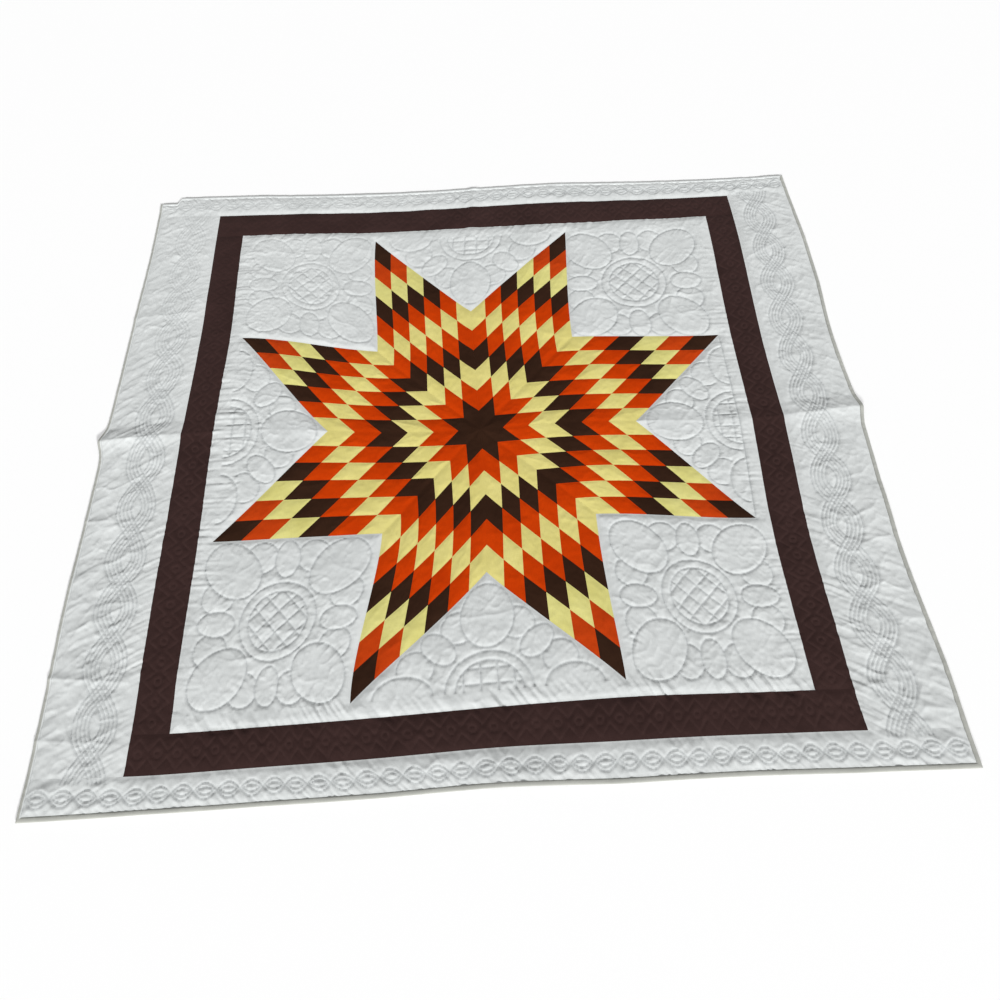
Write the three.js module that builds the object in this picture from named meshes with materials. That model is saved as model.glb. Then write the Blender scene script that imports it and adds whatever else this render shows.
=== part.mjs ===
// Star quilt, spread out flat as it lies: millimetres, +Z up, origin on the floor under its middle.
// Every cut piece of the top is a body of its own, as thick as the quilted cloth. The pieces are
// laid out in an even plan, and one warp then moves that plan to where the cloth really lies.
import * as THREE from 'three';

// Driving dimensions of the even plan
const DIAMOND = 76.2;            // side of a small diamond
const PER_SIDE = 6;              // small diamonds along a star point's side
const INNER_STRIP = 40;          // narrow white strip round the star square
const BROWN_STRIP = 96;          // dark strip
const SIDE_BORDER = 216.5;       // outer border at the left and right
const END_BORDER = 77.5;         // outer border at the top and bottom
const BINDING = 12;              // width of the bound edge
const GAP = 0.3;                 // clearance between two pieces

// Thickness of the cloth
const SEAM = 3;                  // where two pieces are sewn together
const STITCHED = 3.2;            // on a line of quilting
const LOFT = 7;                  // on an open puff
const LOFT_REACH = 14;           // how far from a line the puff has mostly risen
const DIAMOND_LOFT = 6.5;        // middle of a small diamond

// Quilting of the squares and side triangles: a crossed medallion, ovals and loops
const MEDALLION = { outer: 104, inner: 80, steps: 20, grid: 40 };
const OVAL = { away: 202, long: 88, wide: 68, steps: 16 };
const LOOP = { away: 169, long: 51, wide: 33, steps: 9 };
const SIDE_LOOP = { away: 175, aside: 70, radius: 44, steps: 10 };

// Quilting of the strips and borders
const ZIGZAG = { length: 50, low: 8, high: 38 };
const ROPE = {
  inset: 91, length: 145, swing: 36, strand: 16, steps: 6, groundOut: 85, groundIn: 70,
};
const CHAIN = { length: 56.65, swing: 19, outside: 29 };

// Folds that the cloth keeps, and where the edge is caught up or turned under
const FOLD = { halfWidth: 28, spread: 17, height: 3, leftRise: 10, rightRise: 6, riseFrom: 800 };
const BULGE = { x: 50, y: -1000, spreadX: 120, spreadY: 60, height: 8 };
const JOG = { left: 12, right: 8, spread: 40, from: 950 };
const FLAT_BELOW = 0.2;          // a smaller lift is left out
const TUCK = { x: -1076, ramp: 18, y: 1006, depth: 95, amount: 28 };

const GROUND_STEP = 71;          // between the puffs of the open ground in a square
const LONGEST_STEP = 78;         // between two points along a seam
const CLOSEST = 11;              // two quilting points never lie nearer than this

// Worked out from the above
const POINT_SIDE = DIAMOND * PER_SIDE;
const NOTCH = POINT_SIDE * Math.SQRT1_2;
const STAR = POINT_SIDE + NOTCH;
const INNER = STAR + INNER_STRIP;
const BROWN = INNER + BROWN_STRIP;
const EDGE_X = BROWN + SIDE_BORDER;
const EDGE_Y = BROWN + END_BORDER;
const TIP = 2 * POINT_SIDE * Math.cos(Math.PI / 8);
const BREAKS = [0, FOLD.halfWidth, NOTCH, STAR, INNER, BROWN];

const polar = (degrees, radius) => {
  const angle = THREE.MathUtils.degToRad(degrees);
  return [radius * Math.cos(angle), radius * Math.sin(angle)];
};
const mix = (a, b, t) => [a[0] + (b[0] - a[0]) * t, a[1] + (b[1] - a[1]) * t];
const distance = (a, b) => Math.hypot(a[0] - b[0], a[1] - b[1]);
const bell = (value) => Math.exp(-value * value);

// How the cloth lies: shift of each landmark from its place in the even plan
const TIP_SHIFTS = [             // angle, dx, dy
  [22.5, -12, -29], [67.5, -8, -13], [112.5, -29, -18], [157.5, 6, 46],
  [202.5, 4, -12], [247.5, -47, -8], [292.5, 7, 15], [337.5, -28, -21],
];
const NOTCH_SHIFTS = [           // angle, dx, dy
  [0, 1, -13], [45, -27, -10], [90, -28, -25], [135, -9, -34],
  [180, -17, 3], [225, 22, -12], [270, -13, -6], [315, -19, 16],
];
const BROWN_SHIFTS = [           // side in x, side in y, dx, dy
  [-1, 1, -1, -3], [1, 1, 2, -5], [-1, -1, 7, -16], [1, -1, -15, 4],
];
// Outward shift of the bound edge at nine even places, from left to right or from bottom to top
const EDGE_SHIFTS = {
  top: [9, 8, -6, -12, -4, 4, -6, -11, -6],
  bottom: [13, 10, 6, 2, -7, -1, -2, 4, 8],
  left: [2, 3, 8, 4, 2, -2, -5, -10, -7],
  right: [12, 9, -6, -5, 0, -9, 3, 3, -7],
};

function landmarks() {
  const rows = [[0, 0, -5, -22]];
  for (const [angle, dx, dy] of TIP_SHIFTS) rows.push([...polar(angle, TIP), dx, dy]);
  for (const [angle, dx, dy] of NOTCH_SHIFTS) rows.push([...polar(angle, POINT_SIDE), dx, dy]);
  const middle = (INNER + BROWN) / 2;
  for (const [sx, sy, dx, dy] of BROWN_SHIFTS) rows.push([sx * middle, sy * middle, dx, dy]);
  const { top, bottom, left, right } = EDGE_SHIFTS;
  const last = top.length - 1;
  const boundX = EDGE_X + BINDING;
  const boundY = EDGE_Y + BINDING;
  for (let k = 0; k <= last; k += 1) {
    const place = (2 * k) / last - 1;
    const sideways = k === 0 ? -1 : k === last ? 1 : 0;
    const outX = sideways < 0 ? left : right;
    rows.push([place * boundX, boundY, sideways * outX[last], top[k]]);
    rows.push([place * boundX, -boundY, sideways * outX[0], -bottom[k]]);
    if (sideways === 0) {
      rows.push([-boundX, place * boundY, -left[k], 0]);
      rows.push([boundX, place * boundY, right[k], 0]);
    }
  }
  return rows;
}

// Solves a square system of linear equations with two right-hand sides
function solve(matrix, right) {
  const size = matrix.length;
  const rows = matrix.map((row, k) => [...row, ...right[k]]);
  for (let column = 0; column < size; column += 1) {
    let pivot = column;
    for (let k = column + 1; k < size; k += 1) {
      if (Math.abs(rows[k][column]) > Math.abs(rows[pivot][column])) pivot = k;
    }
    [rows[column], rows[pivot]] = [rows[pivot], rows[column]];
    for (let k = 0; k < size; k += 1) {
      if (k === column) continue;
      const factor = rows[k][column] / rows[column][column];
      for (let m = column; m < size + 2; m += 1) rows[k][m] -= factor * rows[column][m];
    }
  }
  return rows.map((row, k) => [row[size] / row[k], row[size + 1] / row[k]]);
}

// A thin-plate spline: exact on the landmarks and as smooth as can be between them
function thinPlateWarp(rows) {
  const scale = POINT_SIDE;
  const bend = (a, b) => {
    const r = distance(a, b) / scale;
    return r > 0 ? r * r * Math.log(r) : 0;
  };
  const plane = (p) => [1, p[0] / scale, p[1] / scale];
  const matrix = rows.map((p) => [...rows.map((q) => bend(p, q)), ...plane(p)]);
  for (let k = 0; k < 3; k += 1) {
    matrix.push([...rows.map((q) => plane(q)[k]), 0, 0, 0]);
  }
  const right = [...rows.map((p) => [p[2], p[3]]), [0, 0], [0, 0], [0, 0]];
  const weights = solve(matrix, right);
  return (p) => {
    const terms = [...rows.map((q) => bend(p, q)), ...plane(p)];
    const moved = [p[0], p[1]];
    terms.forEach((term, k) => {
      moved[0] += term * weights[k][0];
      moved[1] += term * weights[k][1];
    });
    return moved;
  };
}
const thinPlate = thinPlateWarp(landmarks());

// Where a point of the even plan lies on the floor
function layOut(p) {
  const [x, y] = thinPlate(p);
  const smooth = THREE.MathUtils.smoothstep;
  const out = smooth(Math.abs(p[0]), JOG.from, EDGE_X) * bell(p[1] / JOG.spread);
  const jog = p[0] < 0 ? -JOG.left * out : JOG.right * out;
  const tuck = smooth(-p[0], -TUCK.x - TUCK.ramp / 2, -TUCK.x + TUCK.ramp / 2)
    * smooth(p[1], TUCK.y - TUCK.depth, TUCK.y);
  return [x + jog, y - TUCK.amount * tuck];
}

// How high the cloth's underside stands off the floor: two crossing folds and one bulge
function lift(p) {
  const smooth = THREE.MathUtils.smoothstep;
  const rise = p[0] < 0 ? FOLD.leftRise : FOLD.rightRise;
  const across = FOLD.height + rise * smooth(Math.abs(p[0]), FOLD.riseFrom, EDGE_X);
  const folds = across * bell(p[1] / FOLD.spread) + FOLD.height * bell(p[0] / FOLD.spread);
  const bulge = BULGE.height * bell((p[0] - BULGE.x) / BULGE.spreadX)
    * bell((p[1] - BULGE.y) / BULGE.spreadY);
  const total = folds + bulge;
  return total < FLAT_BELOW ? 0 : total;
}

// Convex outline, counterclockwise, drawn in by half the clearance
function drawnIn(corners) {
  const count = corners.length;
  const inward = (a, b) => {
    const length = distance(a, b);
    return [(a[1] - b[1]) / length, (b[0] - a[0]) / length];
  };
  return corners.map((corner, k) => {
    const before = inward(corners[(k + count - 1) % count], corner);
    const after = inward(corner, corners[(k + 1) % count]);
    const share = (GAP / 2) / (1 + before[0] * after[0] + before[1] * after[1]);
    return [
      corner[0] + share * (before[0] + after[0]),
      corner[1] + share * (before[1] + after[1]),
    ];
  });
}

// Places along one coordinate from one value to another, stepped between the shared breaks
function places(from, to) {
  const low = Math.min(from, to);
  const high = Math.max(from, to);
  const cuts = [...BREAKS.map((value) => -value).reverse(), ...BREAKS.slice(1)]
    .filter((value) => value > low + CLOSEST && value < high - CLOSEST);
  const stops = [low, ...cuts, high];
  const result = [low];
  for (let k = 1; k < stops.length; k += 1) {
    const steps = Math.ceil((stops[k] - stops[k - 1]) / LONGEST_STEP);
    for (let s = 1; s <= steps; s += 1) {
      result.push(stops[k - 1] + ((stops[k] - stops[k - 1]) * s) / steps);
    }
  }
  return from < to ? result : result.reverse();
}

// Points round a drawn-in outline, so that neighbours have theirs in the same places
function rimOf(corners) {
  const rim = [];
  corners.forEach((a, k) => {
    const b = corners[(k + 1) % corners.length];
    const level = Math.abs(a[1] - b[1]) < CLOSEST;
    const upright = Math.abs(a[0] - b[0]) < CLOSEST;
    let side;
    if (level) side = places(a[0], b[0]).map((x) => [x, a[1]]);
    else if (upright) side = places(a[1], b[1]).map((y) => [a[0], y]);
    else {
      const steps = Math.ceil(distance(a, b) / LONGEST_STEP);
      side = Array.from({ length: steps + 1 }, (_, s) => mix(a, b, s / steps));
    }
    rim.push(...side.slice(0, -1));
  });
  return rim;
}

// Signed distance inside a convex counterclockwise outline
function depthInside(p, corners) {
  return Math.min(...corners.map((a, k) => {
    const b = corners[(k + 1) % corners.length];
    const cross = (b[0] - a[0]) * (p[1] - a[1]) - (b[1] - a[1]) * (p[0] - a[0]);
    return cross / distance(a, b);
  }));
}

// Circle through three points: centre and squared radius
function circleThrough(a, b, c) {
  const bx = b[0] - a[0];
  const by = b[1] - a[1];
  const cx = c[0] - a[0];
  const cy = c[1] - a[1];
  const twice = 2 * (bx * cy - by * cx);
  const bb = bx * bx + by * by;
  const cc = cx * cx + cy * cy;
  const ux = (cy * bb - by * cc) / twice;
  const uy = (bx * cc - cx * bb) / twice;
  return { x: a[0] + ux, y: a[1] + uy, squared: ux * ux + uy * uy };
}

// Delaunay triangles of plan points, built by adding one point at a time
function triangulate(points) {
  const far = 1e6;
  const sliver = 0.1;
  const all = [...points, [-far, -far], [far, -far], [0, far]];
  const count = points.length;
  const make = (corners) => ({ corners, circle: circleThrough(...corners.map((k) => all[k])) });
  let triangles = [make([count, count + 1, count + 2])];
  for (let k = 0; k < count; k += 1) {
    const [x, y] = all[k];
    const edges = new Map();
    const kept = [];
    for (const triangle of triangles) {
      const { circle, corners } = triangle;
      const squared = (x - circle.x) ** 2 + (y - circle.y) ** 2;
      if (squared >= circle.squared * (1 - 1e-10)) {
        kept.push(triangle);
        continue;
      }
      for (let s = 0; s < 3; s += 1) {
        const [a, b] = [corners[s], corners[(s + 1) % 3]];
        if (!edges.delete(`${b},${a}`)) edges.set(`${a},${b}`, [a, b]);
      }
    }
    triangles = kept;
    for (const [a, b] of edges.values()) triangles.push(make([a, b, k]));
  }
  const area = ([a, b, c]) => (all[b][0] - all[a][0]) * (all[c][1] - all[a][1])
    - (all[b][1] - all[a][1]) * (all[c][0] - all[a][0]);
  return triangles.map((triangle) => triangle.corners)
    .filter((corners) => Math.max(...corners) < count && area(corners) > sliver);
}

// Closed body from an upper and a lower face of plan points that share their rim.
// A point is [x, y, thickness]; a rim is a counterclockwise list of indices.
function clothBody(name, material, upper, lower) {
  const position = [];
  for (const p of upper.points) position.push(...layOut(p), lift(p) + p[2]);
  for (const p of lower.points) position.push(...layOut(p), lift(p));
  const first = upper.points.length;
  const index = upper.faces.flat();
  for (const [a, b, c] of lower.faces) index.push(first + a, first + c, first + b);
  upper.rim.forEach((top, k) => {
    const next = (k + 1) % upper.rim.length;
    const under = first + lower.rim[k];
    const underNext = first + lower.rim[next];
    index.push(under, underNext, upper.rim[next], under, upper.rim[next], top);
  });
  return placedMesh(name, material, position, index);
}

// Mesh whose own origin is the middle of its piece
function placedMesh(name, material, position, index) {
  const geometry = new THREE.BufferGeometry();
  geometry.setAttribute('position', new THREE.Float32BufferAttribute(position, 3));
  geometry.setIndex(index);
  geometry.computeBoundingBox();
  const middle = geometry.boundingBox.getCenter(new THREE.Vector3()).round();
  geometry.translate(-middle.x, -middle.y, -middle.z);
  geometry.computeVertexNormals();
  const mesh = new THREE.Mesh(geometry, material);
  mesh.name = name;
  mesh.position.copy(middle);
  return mesh;
}

// One cut piece with its quilting: stitched points lie low and the puffs between them rise
function quiltedPiece(name, material, outline, stitched, crests) {
  const corners = drawnIn(outline);
  const rim = rimOf(corners);
  const lows = [...rim];
  for (const p of stitched) {
    const clear = lows.every((q) => distance(p, q) > CLOSEST);
    if (clear && depthInside(p, corners) > CLOSEST / 2) lows.push(p);
  }
  const highs = [];
  for (const p of crests) {
    const clear = [...lows, ...highs].every((q) => distance(p, q) > CLOSEST);
    if (clear && depthInside(p, corners) > CLOSEST / 2) highs.push(p);
  }
  const thickness = (p) => {
    const nearest = Math.min(depthInside(p, corners), ...lows.map((q) => distance(p, q)));
    return STITCHED + (LOFT - STITCHED) * (1 - Math.exp(-nearest / LOFT_REACH));
  };
  const points = [
    ...lows.map((p, k) => [...p, k < rim.length ? SEAM : STITCHED]),
    ...highs.map((p) => [...p, thickness(p)]),
  ];
  const order = rim.map((_, k) => k);
  const upper = { points, faces: triangulate(points), rim: order };
  const under = [...rim, ...innerGrid(corners)];
  const lower = { points: under, faces: triangulate(under), rim: order };
  return clothBody(name, material, upper, lower);
}

// Sparse grid of points well inside an outline, with a row on each fold
function innerGrid(corners) {
  const span = (axis) => {
    const values = corners.map((p) => p[axis]);
    return places(Math.min(...values), Math.max(...values)).slice(1, -1);
  };
  const points = [];
  for (const x of span(0)) {
    for (const y of span(1)) {
      if (depthInside([x, y], corners) > LONGEST_STEP / 3) points.push([x, y]);
    }
  }
  return points;
}

// Star point: small diamonds in rows, each a low pyramid between its seams
function starPoint(name, material, number) {
  const along = polar(45 * number, POINT_SIDE);
  const across = polar(45 * (number + 1), POINT_SIDE);
  const tip = [along[0] + across[0], along[1] + across[1]];
  const [start, right, , left] = drawnIn([[0, 0], along, tip, across]);
  const at = (i, j) => [
    start[0] + ((right[0] - start[0]) * i + (left[0] - start[0]) * j) / PER_SIDE,
    start[1] + ((right[1] - start[1]) * i + (left[1] - start[1]) * j) / PER_SIDE,
  ];
  const index = (i, j) => i * (PER_SIDE + 1) + j;
  const grid = [];
  for (let i = 0; i <= PER_SIDE; i += 1) {
    for (let j = 0; j <= PER_SIDE; j += 1) grid.push([...at(i, j), SEAM]);
  }
  const points = [...grid];
  const faces = [];
  const underFaces = [];
  for (let i = 0; i < PER_SIDE; i += 1) {
    for (let j = 0; j < PER_SIDE; j += 1) {
      const ring = [index(i, j), index(i + 1, j), index(i + 1, j + 1), index(i, j + 1)];
      const crest = points.push([...at(i + 0.5, j + 0.5), DIAMOND_LOFT]) - 1;
      ring.forEach((corner, k) => faces.push([corner, ring[(k + 1) % 4], crest]));
      underFaces.push([ring[0], ring[1], ring[3]], [ring[1], ring[2], ring[3]]);
    }
  }
  const rim = [];
  for (let k = 0; k < PER_SIDE; k += 1) rim.push(index(k, 0));
  for (let k = 0; k < PER_SIDE; k += 1) rim.push(index(PER_SIDE, k));
  for (let k = PER_SIDE; k > 0; k -= 1) rim.push(index(k, PER_SIDE));
  for (let k = PER_SIDE; k > 0; k -= 1) rim.push(index(0, k));
  const lower = { points: grid, faces: underFaces, rim };
  return clothBody(name, material, { points, faces, rim }, lower);
}

// Quilting wreath round a middle point: stitched points and the crests between them
function wreath(middle, turn) {
  const stitched = [];
  const crests = [];
  const place = (angle, radius, sideways = 0) => {
    const out = polar(angle + turn, radius);
    const beside = polar(angle + turn + 90, sideways);
    return [middle[0] + out[0] + beside[0], middle[1] + out[1] + beside[1]];
  };
  const ellipse = (angle, shape, size, steps) => {
    const points = [];
    for (let k = 0; k < steps; k += 1) {
      const [u, v] = polar((360 * (k + 0.5)) / steps, size);
      points.push(place(angle, shape.away + u * shape.long, v * shape.wide));
    }
    return points;
  };
  for (let k = 0; k < MEDALLION.steps; k += 1) {
    const angle = (360 * k) / MEDALLION.steps;
    stitched.push(place(angle, MEDALLION.outer), place(angle, MEDALLION.inner));
    crests.push(place(angle, (MEDALLION.outer + MEDALLION.inner) / 2));
  }
  const half = MEDALLION.grid / 2;
  for (let u = -3; u <= 3; u += 1) {
    for (let v = -3; v <= 3; v += 1) {
      if (Math.hypot(u, v) * half > MEDALLION.inner - half / 2) continue;
      const onLine = u % 2 !== 0 || v % 2 !== 0;
      (onLine ? stitched : crests).push(place(45, u * half, v * half));
    }
  }
  for (const angle of [45, 135, 225, 315]) {
    stitched.push(...ellipse(angle, OVAL, 1, OVAL.steps));
    crests.push(...ellipse(angle, OVAL, 0.5, OVAL.steps / 2), place(angle, OVAL.away));
  }
  const insideOval = (out, aside) => {
    const along = (out + Math.abs(aside)) * Math.SQRT1_2 - OVAL.away;
    const across = (out - Math.abs(aside)) * Math.SQRT1_2;
    return Math.hypot(along / OVAL.long, across / OVAL.wide) < 1;
  };
  for (const angle of [0, 90, 180, 270]) {
    stitched.push(...ellipse(angle, LOOP, 1, LOOP.steps));
    crests.push(place(angle, LOOP.away), place(angle, LOOP.away + LOOP.long / 2));
    for (const side of [-1, 1]) {
      for (let k = 0; k < SIDE_LOOP.steps; k += 1) {
        const [u, v] = polar((360 * k) / SIDE_LOOP.steps, SIDE_LOOP.radius);
        const out = SIDE_LOOP.away + u;
        const aside = side * SIDE_LOOP.aside + v;
        const inLoop = Math.hypot((out - LOOP.away) / LOOP.long, aside / LOOP.wide) < 1;
        const inRing = Math.hypot(out, aside) < MEDALLION.outer;
        if (!inLoop && !inRing && !insideOval(out, aside)) {
          stitched.push(place(angle, out, aside));
        }
      }
      crests.push(place(angle, SIDE_LOOP.away, side * SIDE_LOOP.aside));
    }
  }
  return { stitched, crests };
}

// Crests on a loose grid over a square, for the open ground between motifs
function openGround(middle, turn) {
  const crests = [];
  for (let u = -3; u <= 3; u += 1) {
    for (let v = -3; v <= 3; v += 1) {
      const out = polar(turn, u * GROUND_STEP);
      const beside = polar(turn + 90, v * GROUND_STEP);
      crests.push([middle[0] + out[0] + beside[0], middle[1] + out[1] + beside[1]]);
    }
  }
  return crests;
}

// Motifs along a strip. Each is given as [distance along the strip, distance across from its axis].
function zigzag(from, to) {
  const stitched = [];
  const crests = [];
  const count = Math.round((to - from) / ZIGZAG.length);
  const length = (to - from) / count;
  for (let k = 0; k < count; k += 1) {
    const start = from + k * length;
    for (const side of [-1, 1]) {
      stitched.push([start, side * ZIGZAG.low], [start + length / 2, side * ZIGZAG.high]);
    }
    crests.push([start + length / 2, 0]);
  }
  return { stitched, crests };
}

function chain(from, to) {
  const stitched = [];
  const crests = [];
  const count = Math.round((to - from) / CHAIN.length);
  const length = (to - from) / count;
  for (let k = 0; k < count; k += 1) {
    const start = from + k * length;
    const top = start + length / 2;
    stitched.push([start, 0], [top, CHAIN.swing], [top, -CHAIN.swing]);
    crests.push([top, 0], [start, CHAIN.outside], [start, -CHAIN.outside]);
  }
  return { stitched, crests };
}

function rope(from, to) {
  const stitched = [];
  const crests = [];
  const step = ROPE.length / ROPE.steps;
  const reach = Math.floor(Math.max(-from, to) / step);
  for (let k = -reach; k <= reach; k += 1) {
    const angle = (Math.PI * k) / ROPE.steps;
    const slope = (ROPE.swing * Math.PI * Math.cos(angle)) / ROPE.length;
    const length = Math.hypot(1, slope);
    for (const side of [-1, 1]) {
      const middle = side * ROPE.swing * Math.sin(angle);
      for (const across of [-ROPE.strand, 0, ROPE.strand]) {
        const along = k * step - (across * side * slope) / length;
        (across ? stitched : crests).push([along, middle + across / length]);
      }
    }
  }
  for (let k = from + LONGEST_STEP / 2; k < to; k += LONGEST_STEP / 2) {
    crests.push([k, ROPE.groundOut], [k, -ROPE.groundIn]);
  }
  return { stitched, crests };
}

function puckers(from, to) {
  const crests = places(from, to).slice(0, -1).flatMap((value, k, all) => {
    const next = k + 1 < all.length ? all[k + 1] : to;
    return [[(value + next) / 2, 0]];
  });
  return { stitched: [], crests };
}

// Binding: a rounded edge swept along one side and cut at a slant where it meets the next
function binding(name, material, side) {
  const section = [                // outward from the border's edge, height
    [GAP, 0], [10, 0], [BINDING, 3.5], [9.5, 7], [3.5, 7.5], [GAP, 5],
  ];
  const away = side.level ? EDGE_Y : EDGE_X;
  const half = side.level ? EDGE_X : EDGE_Y;
  const stops = places(-half, half);
  const position = [];
  stops.forEach((stop, k) => {
    const end = k === 0 ? -1 : k === stops.length - 1 ? 1 : 0;
    for (const [out, height] of section) {
      const along = stop + end * (out - GAP);
      const p = side.place(along, away + out);
      position.push(...layOut(p), lift(p) + height);
    }
  });
  const size = section.length;
  const index = [];
  for (let k = 1; k < stops.length; k += 1) {
    for (let s = 0; s < size; s += 1) {
      const next = (s + 1) % size;
      const [a, b] = [(k - 1) * size + s, (k - 1) * size + next];
      const [c, d] = [k * size + s, k * size + next];
      index.push(a, c, d, a, d, b);
    }
  }
  const last = (stops.length - 1) * size;
  for (let s = 1; s < size - 1; s += 1) {
    index.push(0, s, s + 1, last, last + s + 1, last + s);
  }
  return placedMesh(name, material, position, index);
}

// The four sides. place() turns a distance along and a distance outward into plan x and y,
// and along always runs counterclockwise round the quilt.
const SIDES = {
  top: { level: true, place: (along, out) => [-along, out] },
  bottom: { level: true, place: (along, out) => [along, -out] },
  left: { level: false, place: (along, out) => [-out, -along] },
  right: { level: false, place: (along, out) => [out, along] },
};

// A straight strip on one side: along from -half to half, outward from near to far
function strip(name, material, side, half, near, far, motif, axis = (near + far) / 2) {
  const outline = [
    side.place(-half, far), side.place(-half, near), side.place(half, near), side.place(half, far),
  ];
  outline.reverse();
  const { stitched, crests } = motif(-half, half);
  const set = (points) => points.map(([along, across]) => side.place(along, axis + across));
  return quiltedPiece(name, material, outline, set(stitched), set(crests));
}

const cloth = (color) => new THREE.MeshStandardMaterial({ color, roughness: 0.9, metalness: 0 });
const white = 0xd9dde0;
const patchwork = 0xc8421a;
const brown = 0x35231f;
const bindingGrey = 0xc4c8cb;

const quilt = new THREE.Group();
for (let k = 0; k < 8; k += 1) quilt.add(starPoint(`star_point_${k + 1}`, cloth(patchwork), k));

// Corner squares and side triangles, counterclockwise from the upper right and from the right
for (let k = 0; k < 4; k += 1) {
  const turned = (x, y) => {
    const [c, s] = [[1, 0], [0, 1], [-1, 0], [0, -1]][k];
    return [x * c - y * s, x * s + y * c];
  };
  const square = [
    turned(NOTCH, NOTCH), turned(STAR, NOTCH), turned(STAR, STAR), turned(NOTCH, STAR),
  ];
  const squareMiddle = mix(square[0], square[2], 0.5);
  const squareWreath = wreath(squareMiddle, 0);
  const squareGround = openGround(squareMiddle, 0);
  quilt.add(quiltedPiece(`corner_square_${k + 1}`, cloth(white), square,
    squareWreath.stitched, [...squareWreath.crests, ...squareGround]));

  const triangle = [turned(POINT_SIDE, 0), turned(STAR, -NOTCH), turned(STAR, NOTCH)];
  const baseMiddle = turned(STAR, 0);
  const halfWreath = wreath(baseMiddle, 45);
  const halfGround = openGround(baseMiddle, 45);
  quilt.add(quiltedPiece(`side_triangle_${k + 1}`, cloth(white), triangle,
    halfWreath.stitched, [...halfWreath.crests, ...halfGround]));
}

// Strips, borders and binding. The lengths at top and bottom run over the ends of the side ones.
for (const [sideName, side] of Object.entries(SIDES)) {
  const reach = (outer, inner) => (side.level ? outer : inner);
  quilt.add(strip(`inner_strip_${sideName}`, cloth(white), side,
    reach(INNER, STAR), STAR, INNER, puckers));
  quilt.add(strip(`brown_strip_${sideName}`, cloth(brown), side,
    reach(BROWN, INNER), INNER, BROWN, zigzag));
  if (side.level) {
    quilt.add(strip(`border_${sideName}`, cloth(white), side, EDGE_X, BROWN, EDGE_Y, chain));
  } else {
    quilt.add(strip(`border_${sideName}`, cloth(white), side, BROWN, BROWN, EDGE_X, rope,
      BROWN + ROPE.inset));
  }
  quilt.add(binding(`binding_${sideName}`, cloth(bindingGrey), side));
}

export default quilt;
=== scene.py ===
import math

import bpy
import numpy as np
from mathutils import Matrix, Vector
from mathutils.kdtree import KDTree


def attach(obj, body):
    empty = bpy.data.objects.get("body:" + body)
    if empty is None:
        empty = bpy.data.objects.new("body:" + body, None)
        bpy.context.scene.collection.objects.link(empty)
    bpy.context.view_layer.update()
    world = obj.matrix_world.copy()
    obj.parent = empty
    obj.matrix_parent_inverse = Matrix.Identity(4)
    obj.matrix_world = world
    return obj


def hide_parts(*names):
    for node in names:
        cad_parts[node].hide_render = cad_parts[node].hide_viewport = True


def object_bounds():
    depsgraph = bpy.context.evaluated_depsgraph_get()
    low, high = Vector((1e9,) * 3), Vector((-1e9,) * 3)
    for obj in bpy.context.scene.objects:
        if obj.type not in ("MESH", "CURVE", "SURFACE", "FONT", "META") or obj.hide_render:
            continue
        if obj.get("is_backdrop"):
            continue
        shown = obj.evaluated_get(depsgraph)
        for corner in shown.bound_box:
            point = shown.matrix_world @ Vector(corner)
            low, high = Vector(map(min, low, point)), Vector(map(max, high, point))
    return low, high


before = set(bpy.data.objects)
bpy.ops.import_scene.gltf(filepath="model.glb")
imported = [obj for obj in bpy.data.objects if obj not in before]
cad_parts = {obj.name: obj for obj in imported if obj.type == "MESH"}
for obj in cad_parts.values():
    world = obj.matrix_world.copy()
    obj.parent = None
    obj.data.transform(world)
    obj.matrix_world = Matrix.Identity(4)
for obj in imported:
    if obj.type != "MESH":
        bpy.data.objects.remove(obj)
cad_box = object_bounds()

# A star quilt spread out flat. Plan sizes are in millimetres in an even plan of the cut pieces;
# lay_out() then moves that plan to where the cloth really lies, and the meshes are in metres.
MM = 0.001

# The cut pieces
DIAMOND = 76.2
PER_SIDE = 6
ROW_STOPS = (0.0, 68.5, 145.0, 223.0, 301.0, 378.5, 457.2)   # seams along a point's side
INNER_STRIP = 40.0
BROWN_STRIP = 96.0
SIDE_BORDER = 216.5
END_BORDER = 77.5
BINDING = 12.0
GAP = 0.06
POINT_SIDE = DIAMOND * PER_SIDE
NOTCH = POINT_SIDE * math.sqrt(0.5)
STAR = POINT_SIDE + NOTCH
INNER = STAR + INNER_STRIP
BROWN = INNER + BROWN_STRIP
EDGE_X = BROWN + SIDE_BORDER
EDGE_Y = BROWN + END_BORDER
TIP = 2 * POINT_SIDE * math.cos(math.pi / 8)

# Thickness of the cloth, height of its puffs and how far a seam or stitched line holds them down
SEAM = 3.0
THINNEST = 0.8
LOFT = 3.6
STAR_LOFT = 1.8
BROWN_LOFT = 2.0
SEAM_REACH = 10.0
LINE_REACH = 3.7
BORDER_REACH = 3.4
BROWN_REACH = 3.5
LINE_HOLD = 0.86                 # share of the puff that a stitched line takes away
BORDER_LINE_HOLD = 0.74          # the same in the borders
STAR_HOLD = 0.8                  # share that a seam between two small diamonds takes away
STAR_CRUMPLE = 0.6               # share of the crumpling that the small diamonds have
PLAIN_HOLD = 0.12                # share that a seam between two white pieces takes away
BORDER_HOLD = 0.4                # share that a seam between two borders takes away
EDGE_HOLD = 0.7                  # share that the seam of the binding takes away
LEAST_CRUMPLE = 0.15             # share of the crumpling that is left on a seam
PUCKER = 1.25                    # height of the puckers along a stitched line
BORDER_PUCKER = 0.6 * PUCKER
STAR_PUCKER = 1.3                # height of the puckers along the star's seams
PUCKER_REACH = 14.0
STAR_PUCKER_REACH = 9.0

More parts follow.
